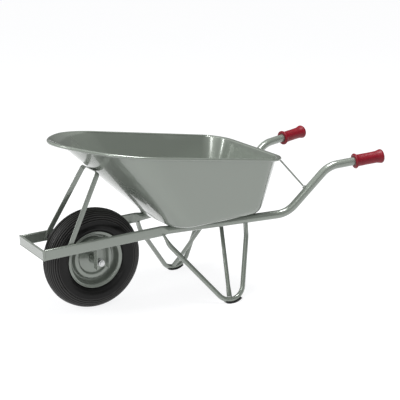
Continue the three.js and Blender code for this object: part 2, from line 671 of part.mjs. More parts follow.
// The inner tube is a hollow ring with the valve's hole through its inner side.
const TUBE_RING = 146;
const ovalRing = (halfHeight, halfWidth, segments) => lathe(
  Array.from({ length: 11 }, (_, k) => {
    const angle = 2 * Math.PI * (k % 10) / 10;
    return [TUBE_RING + halfHeight * Math.cos(angle), halfWidth * Math.sin(angle)];
  }), segments);
const VALVE_Y = 12;
const VALVE_RADIUS = 4;
const valveAxis = (from, to, radius) => rodBetween([0, VALVE_Y, from], [0, VALVE_Y, to], radius, 12);
const innerTube = cut(ovalRing(37, 38, 24), ovalRing(35, 36, 24),
  valveAxis(TUBE_RING - 45, TUBE_RING - 20, 3));
const VALVE_TIP = 70;
const valveStem = cut(
  join(valveAxis(VALVE_TIP, 106, VALVE_RADIUS), valveAxis(101.5, 106, 8)),
  valveAxis(VALVE_TIP - 1, 107, 1.5));
const valveCap = cut(valveAxis(VALVE_TIP - 4, VALVE_TIP + 8, 5.5),
  valveAxis(VALVE_TIP - GAP, VALVE_TIP + 9, VALVE_RADIUS + GAP));
const valveWell = valveAxis(VALVE_TIP - 5, 101, 6.3);

add('tyre', tyre, rubber, wheel);
add('inner_tube', innerTube, butyl, wheel);
add('left_rim_half', mirrored(rimHalf), paint, wheel);
add('right_rim_half', cut(rimHalf, valveWell), paint, wheel);
add('hub_tube', hub, paint, wheel);
addPair('hub_bush', bush, nylon, wheel);
add('valve_stem', valveStem, brass, wheel);
add('valve_cap', valveCap, rubber, wheel);

// ---------------------------------------------------------------- axle and its fasteners
const WASHER_THICKNESS = 2;
const NUT_HEIGHT = 13;
const spacerStart = hubEnd + BUSH_LIP + 2 * GAP;
const bracketInner = BRACKET_FACE_Y - BRACKET_THICKNESS - GAP;
const washerStart = BRACKET_FACE_Y + GAP;
const nutStart = washerStart + WASHER_THICKNESS + GAP;
const axleEnd = nutStart + NUT_HEIGHT + 3;
const axleGroup = new THREE.Group();
axleGroup.position.z = AXLE_Z;
model.add(axleGroup);
add('axle', new THREE.CylinderGeometry(AXLE_RADIUS, AXLE_RADIUS, 2 * axleEnd, 24), zinc, axleGroup);
addPair('axle_spacer', collar(AXLE_RADIUS + GAP, 12, -bracketInner, -spacerStart), zinc, axleGroup);
addPair('axle_washer',
  collar(AXLE_RADIUS + GAP, 15, -washerStart - WASHER_THICKNESS, -washerStart), zinc, axleGroup);
addPair('axle_nut', hexNut(24, NUT_HEIGHT, AXLE_RADIUS + GAP)
  .translate(0, -nutStart - NUT_HEIGHT / 2, 0), zinc, axleGroup);

// ---------------------------------------------------------------- frame assembly
addPair('frame_tube', cut(frameTube, screwHole(-1), ...tubeHoles), paint);
add('front_bar', frontBar, paint);
add('crossbar', crossbar, paint);
addPair('leg', leg, paint);
addPair('leg_brace', brace, paint);
addPair('foot_skid', skid, darkSteel);
addPair('axle_bracket', axleBracket(), paint);
add('front_stay', frontStay, paint);
addPair('rear_stay', rearStay, paint);
addPair('stay_tab', stayTab, paint);
addPair('grip', gripGeometry, gripPlastic);
add('tray', tray, paint);

// ---------------------------------------------------------------- bolts and nuts
// The nuts are held inside the tubes, as high as their corners let them go.
const innerTubeRadius = TUBE_RADIUS - TUBE_WALL;
const nutCorner = NUT_FLATS / Math.sqrt(3);
const nutTop = Math.sqrt(innerTubeRadius ** 2 - nutCorner ** 2) - 2 * GAP;
const nutDepth = SHEET + GAP + TUBE_RADIUS - nutTop + TRAY_NUT_HEIGHT / 2;
TRAY_BOLT_X.forEach((x, i) => {
  const place = i === 0 ? 'front' : 'rear';
  const nut = slopeTurn(hexNut(NUT_FLATS, TRAY_NUT_HEIGHT, BOLT_HOLE));
  const nutMiddle = boltPlace(x, -1).addScaledVector(boltAxis, -nutDepth);
  addPair(`${place}_tray_bolt`, trayBolt().translate(...boltPlace(x, -1).toArray()), zinc);
  addPair(`${place}_tray_nut`, nut.translate(...nutMiddle.toArray()), zinc);
});

// Screws that hold the foot of the front stay to the inner wall of each rail.
const screwHead = STAY_KNEE[1] - STAY_THICKNESS / 2 - GAP;
const stayScrew = join(
  rodBetween([STAY_SCREW[0], -screwHead + 5, STAY_SCREW[1]],
    [STAY_SCREW[0], -screwHead, STAY_SCREW[1]], 7),
  rodBetween([STAY_SCREW[0], -screwHead + 2, STAY_SCREW[1]],
    [STAY_SCREW[0], -screwHead - 10, STAY_SCREW[1]], BOLT_RADIUS));
addPair('stay_screw', stayScrew, zinc);

const assembly = new THREE.Group();
assembly.add(model);
const footprint = new THREE.Box3().setFromObject(model);
model.position.x = -(footprint.min.x + footprint.max.x) / 2;

export default assembly;
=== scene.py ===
import json
import math

import bmesh
import bpy
from bpy.props import FloatProperty, FloatVectorProperty, IntProperty, PointerProperty
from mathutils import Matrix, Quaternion, Vector


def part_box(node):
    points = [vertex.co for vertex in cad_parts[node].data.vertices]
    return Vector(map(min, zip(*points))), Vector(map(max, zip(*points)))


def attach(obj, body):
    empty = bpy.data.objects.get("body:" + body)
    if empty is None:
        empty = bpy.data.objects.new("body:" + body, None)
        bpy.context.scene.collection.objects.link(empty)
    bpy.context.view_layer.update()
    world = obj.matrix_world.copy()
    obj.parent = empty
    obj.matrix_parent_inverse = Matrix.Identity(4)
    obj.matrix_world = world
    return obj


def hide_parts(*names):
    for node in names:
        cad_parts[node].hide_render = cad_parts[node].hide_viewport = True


bl_info = {
    "name": "Builder's wheelbarrow",
    "version": (1, 0, 0),
    "blender": (4, 5, 0),
    "location": "View3D > Sidebar > Barrow",
    "description": "Makes a steel wheelbarrow piece by piece round its measured frame",
    "category": "Object",
}

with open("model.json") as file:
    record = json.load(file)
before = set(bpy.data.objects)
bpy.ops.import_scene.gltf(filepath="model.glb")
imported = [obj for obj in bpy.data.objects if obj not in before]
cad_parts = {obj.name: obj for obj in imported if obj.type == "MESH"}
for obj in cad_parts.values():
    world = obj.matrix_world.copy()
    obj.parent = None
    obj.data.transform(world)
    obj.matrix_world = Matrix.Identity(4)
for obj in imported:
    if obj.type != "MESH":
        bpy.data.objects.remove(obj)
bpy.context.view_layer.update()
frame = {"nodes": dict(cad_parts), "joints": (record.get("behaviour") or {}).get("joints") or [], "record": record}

# ---------------------------------------------------------------- the shop's measures
# Shapes are laid out in millimetres with x = 0 at the axle, as the barrow is set out on the
# bench, and moved to the frame's metres when a mesh is made.
MM = 0.001
AXLE_X = frame["joints"][0]["pos_m"][0]
AXLE_Z = frame["joints"][0]["pos_m"][2] / MM
ACROSS = Vector((0, 1, 0))
UP = Vector((0, 0, 1))

GAP = 0.3
FRONT_X = -251
RAIL_Y = 112
RAIL_Z = 286.8
RAIL_SLOPE = 0.0456
FLAT_END_X = 244
ROUND_START_X = 276
SPREAD = 0.193
LOWER_BEND_X = 773
UPPER_BEND_X = 947
UPPER_BEND_Z = 503.6
BEND_RADIUS = 110
HANDLE_SLOPE = 0.107
GRIP_START_X = 1058
RIM_Z = 650
RIM_SLOPE = -0.128
CROSSBAR_X = 565
FOOT_Y = 241
FOOT_LOW_X = 492
FOOT_BEND = 58
STAY_SHARE = 0.69
TRAY_BOLT_X = (330, 520)


def clamp(value):
    return min(1.0, max(0.0, value))


def smooth(low, high, value):
    t = clamp((value - low) / (high - low))
    return t * t * (3 - 2 * t)


def mix(a, b, t):
    return a + (b - a) * t


def rail_z(x):
    return RAIL_Z + RAIL_SLOPE * x


def tube_y(x):
    return RAIL_Y + SPREAD * max(0, x - ROUND_START_X)


def rim_z(x):
    return RIM_Z + RIM_SLOPE * x


def place(point):
    """A bench point in millimetres as a point of the frame, in metres."""
    return Vector((point[0] * MM + AXLE_X, point[1] * MM, point[2] * MM))


def bench_box(node):
    """The two corners of a piece's box in bench millimetres."""
    return [Vector(((p.x - AXLE_X) / MM, p.y / MM, p.z / MM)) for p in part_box(node)]


# ---------------------------------------------------------------- sizes and colours to change
def size(name, description, default):
    return FloatProperty(name=name, description=description, default=default, min=0.0,
                         unit="LENGTH", precision=4)


def colour(name, description, default):
    return FloatVectorProperty(name=name, description=description, default=default,
                               subtype="COLOR", min=0.0, max=1.0, size=3)


class BarrowTray(bpy.types.PropertyGroup):
    sheet: size("Sheet", "Thickness of the pressed tray", 0.0012)
    lip: size("Rolled lip", "Radius of the rolled edge", 0.006)
    fillet: size("Floor rounding", "Reach of the rounding between floor and walls", 0.026)
    corner: size("Corner rounding", "How much further it reaches at the rear corners", 0.014)
    shoulder: size("Shoulder", "Reach of the rounding where a wall turns out to the lip", 0.007)


class BarrowFrame(bpy.types.PropertyGroup):
    tube: size("Tube radius", "Outside radius of the handle tubes", 0.017)
    rail_height: size("Rail height", "Height of the flattened tube beside the wheel", 0.042)
    rail_width: size("Rail width", "Thickness of the flattened tube", 0.012)
    dish: size("Rail dish", "How deep the inner face of a flattened tube is pressed in", 0.0035)
    leg: size("Leg radius", "Outside radius of a leg", 0.010)
    brace: size("Brace radius", "Radius of a leg brace", 0.0085)


class BarrowWheel(bpy.types.PropertyGroup):
    groove: size("Groove depth", "Depth of the grooves round the tread", 0.0042)
    rib_pitch: size("Rib pitch", "Distance between the ribs of the tread", 0.0115)
    segments: IntProperty(name="Segments", description="Steps round the tyre", default=144,
                          min=24, max=360)


class BarrowFinish(bpy.types.PropertyGroup):
    paint: colour("Paint", "Stoved grey-green paint", (0.208, 0.232, 0.203))
    rubber: colour("Rubber", "Tyre rubber", (0.0047, 0.0046, 0.0045))
    grip: colour("Grip", "Crimson moulding", (0.190, 0.002, 0.011))
    zinc: colour("Zinc", "Bright plated fasteners", (0.62, 0.63, 0.63))
    skid: colour("Skid", "Black skid strip", (0.020, 0.020, 0.021))


class BarrowStage(bpy.types.PropertyGroup):
    floor: colour("Floor", "Pale studio floor", (0.22, 0.22, 0.222))
    key: FloatProperty(name="Key light", description="Power of the large soft light", unit="POWER",
                       default=40.0)
    lens: FloatProperty(name="Lens", description="Focal length of the camera", unit="CAMERA",
                        default=103.3)


# ---------------------------------------------------------------- mesh work
def bent_path(corners, spacing=18.0):
    """Stations (point, way) along corners (point, bend radius), each bend a round arc."""
    points = [Vector(point) for point, _ in corners]
    ways = [(b - a).normalized() for a, b in zip(points, points[1:])]
    stations = [(points[0], ways[0])]

    def run_to(target, way):
        start = stations[-1][0]
        count = max(1, round((target - start).length / spacing))
        for k in range(1, count + 1):
            stations.append((start.lerp(target, k / count), way))

    for i in range(1, len(points) - 1):
        before, after, radius = ways[i - 1], ways[i], corners[i][1]
        turn = before.angle(after)
        axis = before.cross(after).normalized()
        to_centre = axis.cross(before)
        start = points[i] - before * radius * math.tan(turn / 2)
        centre = start + to_centre * radius
        run_to(start, before)
        count = max(3, math.ceil(math.degrees(turn) / 6))
        for k in range(1, count + 1):
            spin = Quaternion(axis, turn * k / count)
            stations.append((centre - (spin @ to_centre) * radius, spin @ before))
    run_to(points[-1], ways[-1])
    return stations


def sweep(stations, section_at, side):
    """Rings of a section carried along stations; side is the section's first direction."""
    rings = []
    for i, (point, way) in enumerate(stations):
        up = way.cross(side).normalized()
        across = up.cross(way).normalized()
        rings.append([point + across * a + up * b for a, b in section_at(i, point)])
    return rings


def distances(stations):
    """How far each station is along its path."""
    run = [0.0]
    for (a, _), (b, _) in zip(stations, stations[1:]):
        run.append(run[-1] + (b - a).length)
    return run


def oblong(width, height, around=40):
    radius = min(width, height) / 2
    ring = []
    for k in range(around):
        angle = (k + 0.5) / around * math.tau
        c, s = math.cos(angle), math.sin(angle)
        ring.append((radius * c + math.copysign(width / 2 - radius, c),
                     radius * s + math.copysign(height / 2 - radius, s)))
    return ring


def soften(points, reach, steps=4, closed=True):
    """A polyline with each corner rounded off."""
    points = [Vector(p) for p in points]
    count = len(points)
    result = []
    for i, corner in enumerate(points):
        if not closed and i in (0, count - 1):
            result.append(corner)
            continue
        before, after = points[i - 1], points[(i + 1) % count]
        near = min(reach, 0.48 * (corner - before).length)
        far = min(reach, 0.48 * (after - corner).length)
        start = corner + (before - corner).normalized() * near
        end = corner + (after - corner).normalized() * far
        for k in range(steps + 1):
            t = k / steps
            result.append(start * (1 - t) ** 2 + corner * 2 * t * (1 - t) + end * t * t)
    return result


def flat_bar(width, thickness, edge=1.2):
    half_w, half_t = width / 2, thickness / 2
    corners = [(half_w, half_t), (-half_w, half_t), (-half_w, -half_t), (half_w, -half_t)]
    return [(p.x, p.y) for p in soften([(a, b, 0) for a, b in corners], edge, 3)]


def mirrored(rings):
    return [[Vector((p[0], -p[1], p[2])) for p in ring] for ring in rings]


def ring_faces(rings, start, along=False):
    """Quads between rings. along joins the last ring to the first too."""
    wide = len(rings[0])
    faces = []
    for i in range(len(rings) if along else len(rings) - 1):
        for k in range(wide):
            a, b = i * wide + k, i * wide + (k + 1) % wide
            c = (i + 1) % len(rings) * wide
            faces.append([start + j for j in (a, b, c + (k + 1) % wide, c + k)])
    return faces


class Shape:
    """Collects rings and makes one mesh object of them."""

    def __init__(self):
        self.points = []
        self.faces = []

    def tube(self, rings):
        """Rings joined along, closed with a flat face at both ends."""
        start, wide = len(self.points), len(rings[0])
        self.points += [p for ring in rings for p in ring]
        self.faces += ring_faces(rings, start)
        last = len(self.points) - wide
        self.faces.append([start + k for k in range(wide)])
        self.faces.append([last + k for k in range(wide)])
        return self

    def band(self, rings):
        """A closed ring of rings, such as a turned hoop."""
        start = len(self.points)
        self.points += [p for ring in rings for p in ring]
        self.faces += ring_faces(rings, start, along=True)
        return self

    def make(self, name, sharp=35.0):
        bm = bmesh.new()
        verts = [bm.verts.new(place(p)) for p in self.points]
        for face in self.faces:
            bm.faces.new([verts[i] for i in face])
        bmesh.ops.remove_doubles(bm, verts=bm.verts, dist=1e-6)
        bmesh.ops.dissolve_degenerate(bm, edges=bm.edges, dist=1e-7)
        bmesh.ops.recalc_face_normals(bm, faces=bm.faces)
        for face in bm.faces:
            face.smooth = True
        for edge in bm.edges:
            if len(edge.link_faces) == 2:
                edge.smooth = edge.calc_face_angle() < math.radians(sharp)
        mesh = bpy.data.meshes.new(name)
        bm.to_mesh(mesh)
        bm.free()
        obj = bpy.data.objects.new(name, mesh)
        bpy.context.scene.collection.objects.link(obj)
        return obj


def turned(profile, segments, middle, axis=ACROSS):
    """Rings of a closed profile of (radius, along) turned about an axis through middle."""
    axis = axis.normalized()
    out = axis.orthogonal().normalized()
    middle = Vector(middle)
    rings = []
    for k in range(segments):
        spoke = Quaternion(axis, math.tau * k / segments) @ out
        rings.append([middle + spoke * p[0] + axis * p[1] for p in profile])
    return rings


def rod(start, end, radius, around=24):
    """Rings of a straight round bar."""
    a, b = Vector(start), Vector(end)
    way = (b - a).normalized()
    side = way.orthogonal()
    return sweep([(a, way), (b, way)], lambda i, p: oblong(2 * radius, 2 * radius, around), side)


def settle(obj, body, material, slot, *nodes):
    obj.data.materials.append(material)
    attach(obj, body)
    if nodes:
        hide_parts(*nodes)
    return obj


# ---------------------------------------------------------------- shader groups
def socket(group, name, kind, default=None):
    """An input of a group when it has a default, and otherwise an output."""
    way = "OUTPUT" if default is None else "INPUT"
    made = group.interface.new_socket(name=name, in_out=way, socket_type=f"NodeSocket{kind}")
    if default is not None:
        made.default_value = default


def find_group(name, build):
    """The node group of this name, built the first time it is asked for."""
    group = bpy.data.node_groups.get(name)
    if not group:
        group = bpy.data.node_groups.new(name, "ShaderNodeTree")
        build(group)
    return group


def link(tree, source, target):
    tree.links.new(source, target)


def set_inputs(node, **values):
    """Sets a node's own sockets, each called by its name with underscores for spaces."""
    for key, value in values.items():
        node.inputs[key.replace("_", " ")].default_value = value


def build_ripple(group):
    """The slight ripple of stoved paint and moulded rubber, as a normal."""
    socket(group, "Scale", "Float", 400.0)
    socket(group, "Depth", "Float", 0.1)
    socket(group, "Normal", "Vector")
    nodes = group.nodes
    into, out = nodes.new("NodeGroupInput"), nodes.new("NodeGroupOutput")
    where = nodes.new("ShaderNodeTexCoord")
    noise = nodes.new("ShaderNodeTexNoise")
    set_inputs(noise, Detail=1.0)
    bump = nodes.new("ShaderNodeBump")
    set_inputs(bump, Distance=0.0006)
    link(group, where.outputs["Object"], noise.inputs["Vector"])
    link(group, into.outputs["Scale"], noise.inputs["Scale"])
    link(group, into.outputs["Depth"], bump.inputs["Strength"])
    link(group, noise.outputs["Fac"], bump.inputs["Height"])
    link(group, bump.outputs["Normal"], out.inputs["Normal"])


def build_mottle(group):
    """Cloudy change from one colour to another, with the mask that made it."""
    socket(group, "Colour", "Color", (0.5, 0.5, 0.5, 1))
    socket(group, "Second colour", "Color", (0.4, 0.4, 0.4, 1))
    socket(group, "Scale", "Float", 8.0)
    socket(group, "From", "Float", 0.35)
    socket(group, "To", "Float", 0.75)
    socket(group, "Colour", "Color")
    socket(group, "Mask", "Float")
    nodes = group.nodes
    into, out = nodes.new("NodeGroupInput"), nodes.new("NodeGroupOutput")
    where = nodes.new("ShaderNodeTexCoord")
    noise = nodes.new("ShaderNodeTexNoise")
    set_inputs(noise, Detail=2.0, Roughness=0.6)
    spread = nodes.new("ShaderNodeMapRange")
    blend = nodes.new("ShaderNodeMix")
    blend.data_type = "RGBA"
    link(group, where.outputs["Object"], noise.inputs["Vector"])
    link(group, into.outputs["Scale"], noise.inputs["Scale"])
    link(group, noise.outputs["Fac"], spread.inputs["Value"])
    link(group, into.outputs["From"], spread.inputs["From Min"])
    link(group, into.outputs["To"], spread.inputs["From Max"])
    link(group, spread.outputs["Result"], blend.inputs["Factor"])
    link(group, into.outputs["Colour"], blend.inputs["A"])
    link(group, into.outputs["Second colour"], blend.inputs["B"])
    link(group, blend.outputs["Result"], out.inputs["Colour"])
    link(group, spread.outputs["Result"], out.inputs["Mask"])


def build_tread(group):
    """The tops of a tyre's ribs, where a painted highlight goes: rings over the crown and shoulders, outside a
    given radius.
    """
    socket(group, "Axle", "Vector", (0.0, 0.0, 0.0))
    socket(group, "Pitch", "Float", 0.0115)
    socket(group, "Tread radius", "Float", 0.158)
    socket(group, "Mask", "Float")
    nodes = group.nodes
    into, out = nodes.new("NodeGroupInput"), nodes.new("NodeGroupOutput")
    where = nodes.new("ShaderNodeTexCoord")
    split = nodes.new("ShaderNodeSeparateXYZ")
    flat = nodes.new("ShaderNodeVectorMath")
    flat.operation = "MULTIPLY"
    flat.inputs[1].default_value = (1, 0, 1)
    spoke = nodes.new("ShaderNodeVectorMath")
    spoke.operation = "DISTANCE"

    def maths(operation, first, second):
        node = nodes.new("ShaderNodeMath")
        node.operation = operation
        for slot, value in zip(node.inputs, (first, second)):
            if isinstance(value, float):
                slot.default_value = value
            elif value is not None:
                link(group, value, slot)
        return node.outputs["Value"]

    link(group, where.outputs["Object"], split.inputs["Vector"])
    link(group, where.outputs["Object"], flat.inputs[0])
    link(group, flat.outputs["Vector"], spoke.inputs[0])
    link(group, into.outputs["Axle"], spoke.inputs[1])
    run = maths("SUBTRACT", maths("ABSOLUTE", split.outputs["Y"], None), spoke.outputs["Value"])
    turns = maths("DIVIDE", run, into.outputs["Pitch"])
    wave = maths("SUBTRACT", 0.0, maths("COSINE", maths("MULTIPLY", turns, math.tau), None))
    rib = nodes.new("ShaderNodeMapRange")
    rib.interpolation_type = "SMOOTHSTEP"
    set_inputs(rib, From_Min=0.1, From_Max=0.6)
    link(group, wave, rib.inputs["Value"])
    tread = maths("GREATER_THAN", spoke.outputs["Value"], into.outputs["Tread radius"])
    link(group, maths("MULTIPLY", rib.outputs["Result"], tread), out.inputs["Mask"])


def finish_material(name, first, second, ripple, clouds, roughness, **shader_values):
    """One finish: clouded colour and roughness with a rippled surface.

    ripple is (scale, depth), clouds is (scale, from, to), roughness is (low, high)."""
    material = bpy.data.materials.get(name)
    if material:
        return material
    material = bpy.data.materials.new(name)
    material.use_nodes = True
    tree = material.node_tree
    nodes = tree.nodes
    shader = nodes["Principled BSDF"]
    clouded = nodes.new("ShaderNodeGroup")
    clouded.node_tree = find_group("mottle", build_mottle)
    scale, low, high = clouds
    set_inputs(clouded, Colour=(*first, 1), Second_colour=(*second, 1), Scale=scale, From=low,
               To=high)
    rippled = nodes.new("ShaderNodeGroup")
    rippled.node_tree = find_group("surface_ripple", build_ripple)
    set_inputs(rippled, Scale=ripple[0], Depth=ripple[1])
    gloss = nodes.new("ShaderNodeMapRange")
    set_inputs(gloss, To_Min=roughness[0], To_Max=roughness[1])
    set_inputs(shader, **shader_values)
    link(tree, clouded.outputs["Colour"], shader.inputs["Base Color"])
    link(tree, clouded.outputs["Mask"], gloss.inputs["Value"])
    link(tree, gloss.outputs["Result"], shader.inputs["Roughness"])
    link(tree, rippled.outputs["Normal"], shader.inputs["Normal"])
    return material


def shade(rgb, factor):
    return tuple(clamp(v * factor) for v in rgb)


def paint():
    look = bpy.context.scene.barrow_finish
    return finish_material("stoved_paint", look.paint, shade(look.paint, 0.97), (30.0, 0.015),
                           (5.0, 0.0, 1.0), (0.24, 0.28), Metallic=0.35, Coat_Weight=1.0,
                           Coat_Roughness=0.06)


def zinc():
    look = bpy.context.scene.barrow_finish
    return finish_material("zinc_plate", look.zinc, shade(look.zinc, 0.8), (1500.0, 0.2),
                           (160.0, 0.3, 0.7), (0.24, 0.38), Metallic=1.0)


def painted_rib_highlight(material):
    """Paints the tops of the ribs a lighter grey: a painted highlight standing in for light caught on the rib
    edges.
    """
    tree = material.node_tree
    shader, form = tree.nodes["Principled BSDF"], bpy.context.scene.barrow_wheel
    if shader.inputs["Base Color"].links[0].from_node.type == "MIX":
        return material
    ribs = tree.nodes.new("ShaderNodeGroup")
    ribs.node_tree = find_group("tread_ribs", build_tread)
    set_inputs(ribs, Axle=place((0, 0, AXLE_Z)), Pitch=form.rib_pitch,
               Tread_radius=TREAD_RADIUS * MM)
    rib_highlight = tree.nodes.new("ShaderNodeMix")
    rib_highlight.data_type = "RGBA"
    colours = shader.inputs["Base Color"].links[0].from_socket
    link(tree, ribs.outputs["Mask"], rib_highlight.inputs["Factor"])
    link(tree, colours, rib_highlight.inputs["A"])
    # painted highlight: the rib tops take the rubber's colour nine times lighter
    set_inputs(rib_highlight, B=(*shade(bpy.context.scene.barrow_finish.rubber, 9.0), 1))
    link(tree, rib_highlight.outputs["Result"], shader.inputs["Base Color"])
    return material


def rubber():
    look = bpy.context.scene.barrow_finish
    return finish_material("tyre_rubber", look.rubber, shade(look.rubber, 1.6), (600.0, 0.08),
                           (22.0, 0.4, 0.75), (0.30, 0.40), Specular_IOR_Level=0.22)


def grip_plastic():
    look = bpy.context.scene.barrow_finish
    return finish_material("crimson_moulding", look.grip, shade(look.grip, 0.8), (2400.0, 0.55),
                           (60.0, 0.3, 0.7), (0.38, 0.50), Specular_IOR_Level=0.3)


def skid_paint():
    look = bpy.context.scene.barrow_finish
    return finish_material("black_skid", look.skid, shade(look.skid, 2.4), (900.0, 0.5),
                           (70.0, 0.45, 0.7), (0.45, 0.7))


def nylon():
    return finish_material("natural_nylon", (0.60, 0.58, 0.50), (0.52, 0.50, 0.43), (1200.0, 0.3),
                           (80.0, 0.3, 0.7), (0.4, 0.5))


def brass():
    return finish_material("turned_brass", (0.52, 0.36, 0.13), (0.42, 0.28, 0.10), (1800.0, 0.3),
                           (120.0, 0.3, 0.7), (0.25, 0.4), Metallic=1.0)


# ---------------------------------------------------------------- tray
STRETCHES = (4, 5, 3, 4, 2)       # the outline's curves in coarse steps, nose to rear
FINE_STEPS = (14, 20, 12, 18, 8)  # the same curves in the steps drawn here
CREASE = (-40, 205)
FLANGE = 9
POUR_LIP = 38
POUR_DROP = 9
LIP_START = (-160, -218)         # degrees round the lip: at the nose and at the rear
LIP_END = (150, 90)


def on_line(a, b):
    return lambda t: Vector((mix(a[0], b[0], t), mix(a[1], b[1], t), 0))


def on_curve(a, b, c, d):
    def at(t):
        s = 1 - t
        weights = (s ** 3, 3 * s * s * t, 3 * s * t * t, t ** 3)
        return Vector((sum(w * p[0] for w, p in zip(weights, (a, b, c, d))),
                       sum(w * p[1] for w, p in zip(weights, (a, b, c, d))), 0))
    return at


def on_corner(x, y, radius):
    def at(t):
        angle = math.pi / 2 * (1 - t)
        return Vector((x + radius * math.cos(angle), y + radius * math.sin(angle), 0))
    return at


FOOT_LINE = (
    on_line((268, 0), (268, 108)),
    on_curve((268, 108), (268, 160), (296, 205), (352, 209)),
    on_line((352, 209), (612, 213)),
    on_corner(612, 163, 50),
    on_line((662, 163), (662, 0)),
)
RIM_LINE = (
    on_curve((-156, 0), (-156, 58), (-106, 136), CREASE),
    on_curve(CREASE, (12, 252), (80, 277), (150, 279)),
    on_line((150, 279), (641, 267)),
    on_corner(641, 167, 100),
    on_line((741, 167), (742, 0)),
)


def outline(curves):
    """Half an outline from the nose's middle to the rear's, with its place in the stretches."""
    points, places = [curves[0](0)], [0.0]
    for i, curve in enumerate(curves):
        for k in range(1, FINE_STEPS[i] + 1):
            points.append(curve(k / FINE_STEPS[i]))
            places.append(sum(STRETCHES[:i]) + STRETCHES[i] * k / FINE_STEPS[i])
    return points, places


def outward_along(points):
    result = []
    for i in range(len(points)):
        along = points[min(i + 1, len(points) - 1)] - points[max(i - 1, 0)]
        result.append(Vector((-along.y, along.x, 0)).normalized())
    result[0], result[-1] = Vector((-1, 0, 0)), Vector((1, 0, 0))
    return result


def rear_share(step):
    corner = sum(STRETCHES[:3])
    return smooth(corner, corner + 2, step)


def fillet_at(step, form):
    corner = sum(STRETCHES[:3])
    share = smooth(corner - 2, corner + 1, step) * (1 - smooth(corner + 3, corner + 6, step))
    return (form.fillet + form.corner * share) / MM


def nose_share(step):
    return 1 - smooth(2, sum(STRETCHES[:2]), step)


def floor_z(x, tube):
    return rail_z(x) + tube + GAP


def wall_line(foot, rim, rim_out, step, form):
    """The straight outer face of a wall at one place round the tray: bottom, top and lip."""
    tube = bpy.context.scene.barrow_frame.tube / MM
    sheet, lip_radius = form.sheet / MM, form.lip / MM
    bottom = Vector((foot.x, foot.y, floor_z(foot.x, tube)))
    lip = Vector((rim.x, rim.y, rim_z(rim.x)))
    rear, nose = rear_share(step), nose_share(step)
    top = lip + rim_out * (sheet - lip_radius - FLANGE * rear - POUR_LIP * nose)
    top.z += mix(-1, lip_radius - sheet, rear) - POUR_DROP * nose
    return bottom, top, lip


def tray_section(foot, rim, foot_out, rim_out, step, form):
    """The outer skin and the rolled lip at one place round the tray."""
    lip_radius = form.lip / MM
    fillet, shoulder = fillet_at(step, form), form.shoulder / MM
    bottom, top, lip = wall_line(foot, rim, rim_out, step, form)
    tube = bpy.context.scene.barrow_frame.tube / MM
    edge = bottom - foot_out * fillet
    edge.z = floor_z(edge.x, tube)
    rear = rear_share(step)

    def round_lip(degrees):
        angle = math.radians(degrees)
        point = lip + rim_out * (lip_radius * math.cos(angle))
        point.z += lip_radius * math.sin(angle)
        return point

    curl, bead_end = mix(*LIP_START, rear), mix(*LIP_END, rear)
    bead_start = round_lip(curl)
    wall_way = (top - bottom).normalized()
    wall_start = bottom + wall_way * fillet
    outer = [edge.lerp(bottom, t).lerp(bottom.lerp(wall_start, t), t) for t in
             [k / 10 for k in range(11)]]
    reach = min(shoulder, 0.45 * (bead_start - top).length)
    turn_start = top - wall_way * reach
    turn_end = top + (bead_start - top).normalized() * reach
    outer += [wall_start.lerp(turn_start, k / 10) for k in range(1, 11)]
    outer += [turn_start.lerp(top, t).lerp(top.lerp(turn_end, t), t) for t in
              [k / 5 for k in range(1, 6)]]
    bead = [round_lip(mix(curl, bead_end, k / 20)) for k in range(21)]
    bead.append(bead[-1] - rim_out * ((FLANGE - lip_radius) * rear))
    return outer, bead


def inner_skin(skins, i, sheet):
    """The inside of the sheet at one place, offset square to the outer skin."""
    outer, last = skins[i], len(skins) - 1
    result = [outer[0] + UP * sheet]
    for k in range(1, len(outer)):
        rise = outer[min(k + 1, len(outer) - 1)] - outer[k - 1]
        along = skins[min(i + 1, last)][k] - skins[max(i - 1, 0)][k]
        if i in (0, last):
            along = ACROSS * (1 if i == 0 else -1)
        result.append(outer[k] + along.cross(rise).normalized() * sheet)
    return result


def tray_rings(form):
    feet, steps = outline(FOOT_LINE)
    rims, _ = outline(RIM_LINE)
    foot_outs, rim_outs = outward_along(feet), outward_along(rims)
    made = [tray_section(*one, form) for one in zip(feet, rims, foot_outs, rim_outs, steps)]
    skins = [outer for outer, _ in made]
    half = [outer + bead + inner_skin(skins, i, form.sheet / MM)[::-1]
            for i, (outer, bead) in enumerate(made)]
    sections = half + mirrored(half[1:-1])[::-1]
    return [[section[k] for section in sections] for k in range(len(sections[0]))]


# ---------------------------------------------------------------- pieces
def painted(obj, node, body="barrow"):
    return settle(obj, body, paint(), "paint", node)


def plated(obj, node):
    return settle(obj, "barrow", zinc(), "zinc", node)


class BARROW_OT_tray(bpy.types.Operator):
    """Presses the tray: floor, sloping nose, walls, rear flange and rolled lip"""

    bl_idname = "barrow.tray"
    bl_label = "Tray"

    def execute(self, context):
        tray = Shape().tube(tray_rings(context.scene.barrow_tray)).make("tray_pressing", 50)
        painted(tray, "tray")
        return {"FINISHED"}


DISH_EDGE = (0.30, 0.43)         # where the dish fades out, in shares of the height
DISH_FADE = 34                   # length over which it fades before the tube turns round
FRONT_BAR_EASE = 0.4
TUBE_IN_GRIP = 122


def dished(width, height, dish):
    """A tube pressed flat, its +side face pushed in between two rolled edges."""
    ring = []
    for a, b in oblong(width, height, 48):
        if a > 0:
            a -= dish * (1 - smooth(DISH_EDGE[0] * height, DISH_EDGE[1] * height, abs(b)))
        ring.append((a, b))
    return ring


